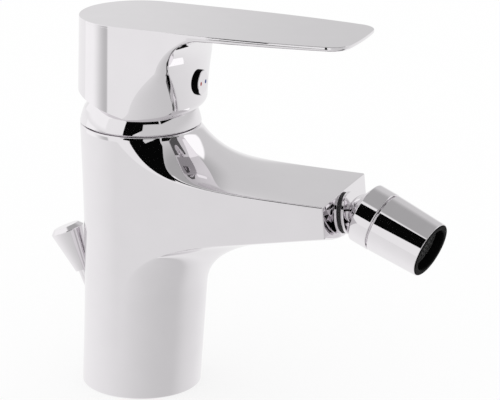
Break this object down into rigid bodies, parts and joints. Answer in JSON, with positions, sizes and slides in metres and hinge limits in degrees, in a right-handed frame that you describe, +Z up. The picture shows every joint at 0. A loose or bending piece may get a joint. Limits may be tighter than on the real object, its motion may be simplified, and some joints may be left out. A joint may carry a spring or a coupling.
{
  "type": "bidet mixer tap",
  "caption": "Chrome single-lever bidet mixer with a straight spout, a ball-jointed aerator nozzle and a pop-up lift rod behind the trunk.",
  "frame": {"origin": "centre of the base on the deck, on the axis of the trunk", "axes": "+X along the spout towards the nozzle, +Z up from the deck, -Y the hot side"},
  "size_m": [0.1656, 0.0494, 0.1516],
  "materials": {
    "chrome_body": "polished chrome plate",
    "chrome_lever": "polished chrome plate",
    "chrome_trim": "polished chrome plate",
    "rubber": "black rubber",
    "white_plastic": "moulded",
    "grey_plastic": "moulded",
    "ceramic": "lapped ceramic",
    "brass": "machined",
    "steel": "turned",
    "red_mark": "enamel",
    "blue_mark": "enamel",
    "dark_screen": "moulded",
    "black_plastic": "moulded"
  },
  "bodies": {
    "mixer_body": {"body_casting": "chrome_body", "deck_gasket": "rubber", "rod_bush": "white_plastic", "cartridge_base": "white_plastic", "port_seals": "rubber", "fixed_disc": "ceramic", "cartridge_housing": "white_plastic", "cartridge_nut": "brass", "cap": "chrome_trim", "cap_seal": "rubber", "ball_stem": "chrome_trim", "stem_washer": "rubber"},
    "turret": {"cartridge_rotor": "grey_plastic", "spindle_pin": "steel"},
    "control_disc": {"moving_disc": "ceramic", "disc_carrier": "white_plastic"},
    "lever": {"spindle": "brass", "lever_handle": "chrome_lever", "handle_screw": "steel", "index_plug": "chrome_trim", "index_red": "red_mark", "index_blue": "blue_mark"},
    "lift": {"lift_rod": "chrome_trim", "lift_knob": "chrome_trim"},
    "seat": {"ball_seat": "white_plastic"},
    "backing": {"seat_backing": "grey_plastic"},
    "nozzle": {"nozzle_nut": "chrome_trim", "seat_retainer": "brass", "nozzle_sleeve": "chrome_trim", "aerator_gasket": "rubber", "aerator_insert": "grey_plastic", "outlet_screen": "dark_screen", "outlet_ring": "black_plastic"}
  },
  "joints": [
    {"name": "lever_swivel", "type": "hinge", "parent": "mixer_body", "child": "turret", "pos_m": [0, 0, 0.1], "axis": [0, 0, 1], "range_deg": [-50, 50]},
    {"name": "lever_tilt", "type": "hinge", "parent": "turret", "child": "lever", "pos_m": [0, 0, 0.1], "axis": [0, -1, 0], "range_deg": [0, 24]},
    {"name": "disc_slide", "type": "slide", "parent": "turret", "child": "control_disc", "axis": [1, 0, 0], "range_m": [0, 0.00374]},
    {"name": "rod_lift", "type": "slide", "parent": "mixer_body", "child": "lift", "axis": [-0.4067, 0, 0.9135], "range_m": [0, 0.016]},
    {"name": "nozzle_pitch", "type": "hinge", "parent": "mixer_body", "child": "seat", "pos_m": [0.09502, 0, 0.08292], "axis": [0, 1, 0], "range_deg": [-36, 1.5]},
    {"name": "nozzle_yaw", "type": "hinge", "parent": "seat", "child": "backing", "pos_m": [0.09502, 0, 0.08292], "axis": [0.335, 0, 0.9422], "range_deg": [-2, 20.7]},
    {"name": "nozzle_spin", "type": "hinge", "parent": "backing", "child": "nozzle", "pos_m": [0.09502, 0, 0.08292], "axis": [0.9297, -0.1623, -0.3305], "continuous": true}
  ],
  "couplings": [
    {"joint": "disc_slide", "follows": "lever_tilt", "m_per_rad": 0.0089344}
  ]
}
